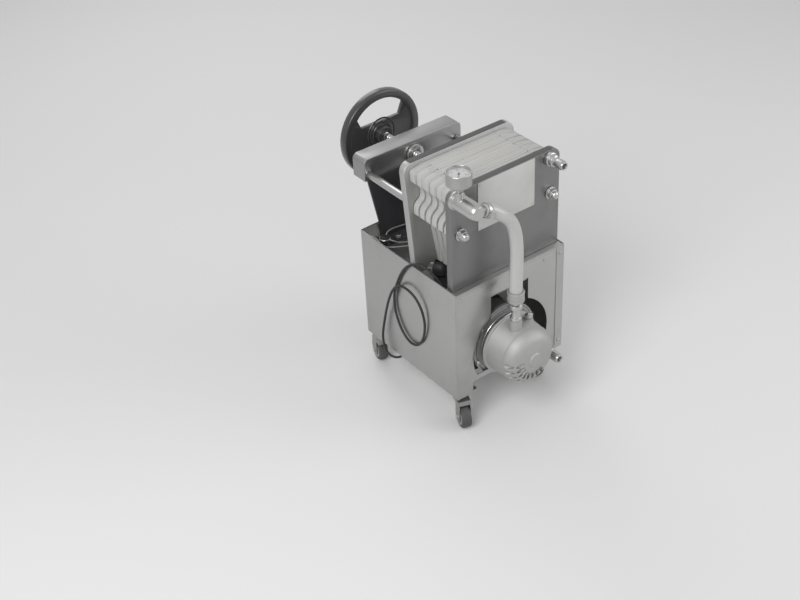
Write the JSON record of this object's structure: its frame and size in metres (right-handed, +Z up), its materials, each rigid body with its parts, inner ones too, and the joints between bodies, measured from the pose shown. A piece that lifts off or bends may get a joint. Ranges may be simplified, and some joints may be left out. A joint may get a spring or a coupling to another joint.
{
  "type": "wheeled plate filter with transfer pump",
  "caption": "Small wine plate filter on a stainless castor trolley: pump and hose at the front, filter plates clamped between two heads by a screw with a black handwheel, gauge on the inlet.",
  "frame": {"origin": "on the floor, under the middle of the bounding box without the mains cord and plug", "axes": "+Z up; +Y from the pump end towards the handwheel end, along the tie rods; +X across the trolley, to the right as seen from the pump end"},
  "size_m": [0.2955, 0.528, 0.6195],
  "materials": {
    "sheet_steel": "satin brushed stainless sheet",
    "head_metal": "satin metal plate",
    "cast_metal": "bead-blasted casting",
    "chrome_fitting": "polished",
    "gauge_metal": "dull zinc and steel",
    "motor_paint": "grey paint over a light housing",
    "dark_paint": "nearly black semi-matt paint",
    "black_plastic": "black moulded plastic",
    "white_plastic": "white moulded plastic",
    "filter_paper": "off-white filter board",
    "milky_hose": "milky translucent hose",
    "blank_label": "bare light plate, no print",
    "gauge_glass": "clear window",
    "cord_rubber": "black rubber",
    "wheel_rubber": "grey rubber tread"
  },
  "bodies": {
    "trolley": {"trolley_wrap": "sheet_steel", "front_panel": "sheet_steel", "base_plate": "sheet_steel", "drip_tray": "sheet_steel", "motor_body": "motor_paint", "fan_cover": "black_plastic", "terminal_box": "black_plastic", "cord_gland": "black_plastic", "pump_adapter": "cast_metal", "pump_body": "cast_metal", "pump_cover": "cast_metal", "discharge_port": "chrome_fitting", "hose_union_nut": "cast_metal", "suction_barb": "chrome_fitting", "priming_plug": "chrome_fitting", "hose": "milky_hose", "hose_clamp": "chrome_fitting", "fixed_head": "head_metal", "label_plate": "blank_label", "inlet_barrel": "chrome_fitting", "gauge_case": "gauge_metal", "gauge_dial": "blank_label", "gauge_lens": "gauge_glass", "outlet_barb": "chrome_fitting", "tie_rod_left": "chrome_fitting", "tie_rod_right": "chrome_fitting", "acorn_nut_left": "chrome_fitting", "acorn_nut_right": "chrome_fitting", "rear_nut_left": "chrome_fitting", "rear_nut_right": "chrome_fitting", "yoke_crossbar": "sheet_steel", "yoke_column": "dark_paint", "screw_nut": "chrome_fitting", "cord": "cord_rubber", "plug": "cord_rubber"},
    "moving_head": {"moving_head": "head_metal"},
    "closing_screw": {"closing_screw": "chrome_fitting", "handwheel": "black_plastic"},
    "plate_1": {"filter_plate_1": "white_plastic", "filter_sheet_1": "filter_paper"},
    "plate_2": {"filter_plate_2": "white_plastic", "filter_sheet_2": "filter_paper"},
    "plate_3": {"filter_plate_3": "white_plastic", "filter_sheet_3": "filter_paper"},
    "plate_4": {"filter_plate_4": "white_plastic", "filter_sheet_4": "filter_paper"},
    "plate_5": {"filter_plate_5": "white_plastic", "filter_sheet_5": "filter_paper"},
    "plate_6": {"filter_plate_6": "white_plastic"},
    "pump_rotor": {"pump_rotor": "gauge_metal"},
    "gauge_needle": {"gauge_needle": "black_plastic"},
    "switch_rocker": {"switch_rocker": "black_plastic"},
    "fork_front_left": {"castor_fork_front_left": "gauge_metal"},
    "wheel_front_left": {"castor_wheel_front_left": "wheel_rubber"},
    "fork_front_right": {"castor_fork_front_right": "gauge_metal"},
    "wheel_front_right": {"castor_wheel_front_right": "wheel_rubber"},
    "fork_rear_left": {"castor_fork_rear_left": "gauge_metal"},
    "wheel_rear_left": {"castor_wheel_rear_left": "wheel_rubber"},
    "fork_rear_right": {"castor_fork_rear_right": "gauge_metal"},
    "wheel_rear_right": {"castor_wheel_rear_right": "wheel_rubber"}
  },
  "joints": [
    {"name": "handwheel_turn", "type": "hinge", "parent": "moving_head", "child": "closing_screw", "pos_m": [0.00665, 0.128, 0.476], "axis": [0, 1, 0], "range_deg": [0, 5400]},
    {"name": "head_slide", "type": "slide", "parent": "trolley", "child": "moving_head", "axis": [0, 1, 0], "range_m": [0, 0.0901]},
    {"name": "plate_1_slide", "type": "slide", "parent": "trolley", "child": "plate_1", "axis": [0, 1, 0], "range_m": [0, 0.01296]},
    {"name": "plate_2_slide", "type": "slide", "parent": "trolley", "child": "plate_2", "axis": [0, 1, 0], "range_m": [0, 0.02581]},
    {"name": "plate_3_slide", "type": "slide", "parent": "trolley", "child": "plate_3", "axis": [0, 1, 0], "range_m": [0, 0.03867]},
    {"name": "plate_4_slide", "type": "slide", "parent": "trolley", "child": "plate_4", "axis": [0, 1, 0], "range_m": [0, 0.05153]},
    {"name": "plate_5_slide", "type": "slide", "parent": "trolley", "child": "plate_5", "axis": [0, 1, 0], "range_m": [0, 0.06439]},
    {"name": "plate_6_slide", "type": "slide", "parent": "trolley", "child": "plate_6", "axis": [0, 1, 0], "range_m": [0, 0.07724]},
    {"name": "pump_spin", "type": "hinge", "parent": "trolley", "child": "pump_rotor", "pos_m": [-0.00735, -0.072, 0.18], "axis": [0, 1, 0], "continuous": true},
    {"name": "needle_turn", "type": "hinge", "parent": "trolley", "child": "gauge_needle", "pos_m": [-0.12235, -0.177, 0.614], "axis": [0, 0, -1], "range_deg": [0, 270]},
    {"name": "rocker_tilt", "type": "hinge", "parent": "trolley", "child": "switch_rocker", "pos_m": [-0.00735, -0.0115, 0.255], "axis": [1, 0, 0], "range_deg": [-8, 8]},
    {"name": "swivel_front_left", "type": "hinge", "parent": "trolley", "child": "fork_front_left", "pos_m": [-0.10335, -0.142, 0.08], "axis": [0, 0, 1], "continuous": true},
    {"name": "spin_front_left", "type": "hinge", "parent": "fork_front_left", "child": "wheel_front_left", "pos_m": [-0.10951, -0.15891, 0.025], "axis": [0.9397, -0.342, 0], "continuous": true},
    {"name": "swivel_front_right", "type": "hinge", "parent": "trolley", "child": "fork_front_right", "pos_m": [0.11865, -0.142, 0.08], "axis": [0, 0, 1], "continuous": true},
    {"name": "spin_front_right", "type": "hinge", "parent": "fork_front_right", "child": "wheel_front_right", "pos_m": [0.10592, -0.12927, 0.025], "axis": [-0.7071, -0.7071, 0], "continuous": true},
    {"name": "swivel_rear_left", "type": "hinge", "parent": "trolley", "child": "fork_rear_left", "pos_m": [-0.11135, 0.116, 0.08], "axis": [0, 0, 1], "continuous": true},
    {"name": "spin_rear_left", "type": "hinge", "parent": "fork_rear_left", "child": "wheel_rear_left", "pos_m": [-0.10669, 0.13339, 0.025], "axis": [-0.9659, 0.2588, 0], "continuous": true},
    {"name": "swivel_rear_right", "type": "hinge", "parent": "trolley", "child": "fork_rear_right", "pos_m": [0.11965, 0.114, 0.08], "axis": [0, 0, 1], "continuous": true},
    {"name": "spin_rear_right", "type": "hinge", "parent": "fork_rear_right", "child": "wheel_rear_right", "pos_m": [0.12431, 0.13139, 0.025], "axis": [-0.9659, 0.2588, 0], "continuous": true}
  ],
  "couplings": [
    {"joint": "head_slide", "follows": "handwheel_turn", "m_per_rad": 0.00095493},
    {"joint": "plate_1_slide", "follows": "handwheel_turn", "m_per_rad": 0.00013642},
    {"joint": "plate_2_slide", "follows": "handwheel_turn", "m_per_rad": 0.00027284},
    {"joint": "plate_3_slide", "follows": "handwheel_turn", "m_per_rad": 0.00040926},
    {"joint": "plate_4_slide", "follows": "handwheel_turn", "m_per_rad": 0.00054567},
    {"joint": "plate_5_slide", "follows": "handwheel_turn", "m_per_rad": 0.00068209},
    {"joint": "plate_6_slide", "follows": "handwheel_turn", "m_per_rad": 0.00081851}
  ]
}
